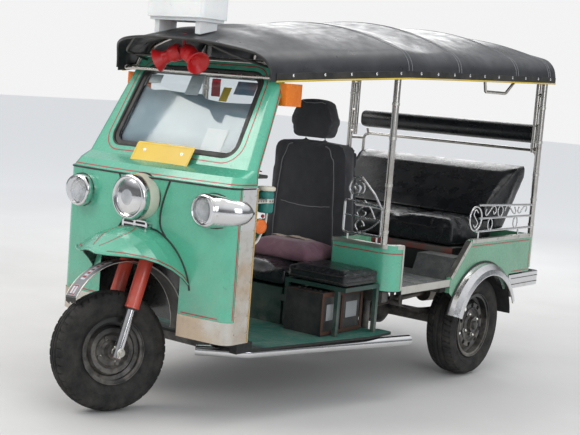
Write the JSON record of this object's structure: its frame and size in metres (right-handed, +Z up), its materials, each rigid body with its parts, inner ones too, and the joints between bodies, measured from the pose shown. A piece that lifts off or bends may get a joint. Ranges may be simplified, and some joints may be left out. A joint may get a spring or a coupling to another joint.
{
  "type": "auto rickshaw",
  "caption": "Three-wheeled passenger taxi with an open cab, a steered front wheel, a bench under a vinyl roof and chrome scroll rails.",
  "frame": {"origin": "on the floor under the middle of the vehicle's box", "axes": "+Z up, the front faces -Y, the vehicle's left is +X"},
  "size_m": [1.44, 2.9539, 1.8845],
  "materials": {
    "mint_paint": "gloss",
    "dark_steel": "satin",
    "cast_metal": "rough",
    "dull_steel": "dull",
    "black_rubber": "matte",
    "clear_glass": "clear",
    "brushed_steel": "brushed",
    "chrome": "polished",
    "yellow_paint": "satin",
    "green_floor": "worn",
    "battery_case": "matte",
    "black_vinyl": "semi-gloss",
    "grey_fabric": "woven",
    "pink_fabric": "woven",
    "grey_floor": "worn",
    "roof_vinyl": "coated",
    "white_plastic": "gloss",
    "red_plastic": "gloss",
    "amber_plastic": "gloss",
    "red_paint": "gloss",
    "dark_paint": "satin",
    "tyre_rubber": "matte",
    "black_wheel": "satin"
  },
  "bodies": {
    "body": {"chassis_frame": "dark_steel", "rear_axle": "dark_steel", "leaf_springs": "dark_steel", "engine_block": "cast_metal", "exhaust": "dull_steel", "cab_nose": "mint_paint", "cab_upper": "mint_paint", "windscreen_seal": "black_rubber", "windscreen_glass": "clear_glass", "front_fender": "mint_paint", "cab_cladding": "brushed_steel", "headlamp": "chrome", "side_lamps": "chrome", "grille_ornament": "chrome", "number_plate": "yellow_paint", "driver_deck": "green_floor", "seat_box": "dark_steel", "batteries": "battery_case", "jump_pad": "black_vinyl", "driver_cushion": "grey_fabric", "driver_back": "grey_fabric", "headrest": "grey_fabric", "loose_cushion": "pink_fabric", "tub_front": "mint_paint", "passenger_floor": "grey_floor", "side_walls": "mint_paint", "tail_panel": "mint_paint", "rear_fenders": "chrome", "wheel_boxes": "grey_floor", "bench_base": "grey_floor", "bench_cushion": "black_vinyl", "bench_back": "black_vinyl", "roll_frame": "brushed_steel", "roll": "black_vinyl", "roof_frame": "brushed_steel", "canopy": "roof_vinyl", "visor_struts": "dark_steel", "roof_sign": "white_plastic", "horns": "red_plastic", "marker_lamps": "amber_plastic", "scroll_rails": "chrome", "side_steps": "chrome", "rear_bumper": "chrome", "tail_lamps": "red_plastic", "coolant_jar": "white_plastic"},
    "steering": {"fork": "red_paint", "handlebar": "chrome", "wheel_guard": "dark_paint"},
    "front_wheel": {"front_tyre": "tyre_rubber", "front_rim": "black_wheel"},
    "rear_wheel_left": {"rear_tyre_left": "tyre_rubber", "rear_rim_left": "black_wheel"},
    "rear_wheel_right": {"rear_tyre_right": "tyre_rubber", "rear_rim_right": "black_wheel"}
  },
  "joints": [
    {"name": "steering", "type": "hinge", "parent": "body", "child": "steering", "pos_m": [0, -1.16402, 0.23703], "axis": [0, 0.3338, 0.9426], "range_deg": [-14.5, 55.5]},
    {"name": "front_wheel_spin", "type": "hinge", "parent": "steering", "child": "front_wheel", "pos_m": [-0.02451, -1.22582, 0.25892], "axis": [0.9367, -0.3301, 0.1169], "continuous": true},
    {"name": "rear_wheel_left_spin", "type": "hinge", "parent": "body", "child": "rear_wheel_left", "pos_m": [0.575, 0.786, 0.267], "axis": [1, 0, 0], "continuous": true},
    {"name": "rear_wheel_right_spin", "type": "hinge", "parent": "body", "child": "rear_wheel_right", "pos_m": [-0.575, 0.786, 0.267], "axis": [1, 0, 0], "continuous": true}
  ]
}
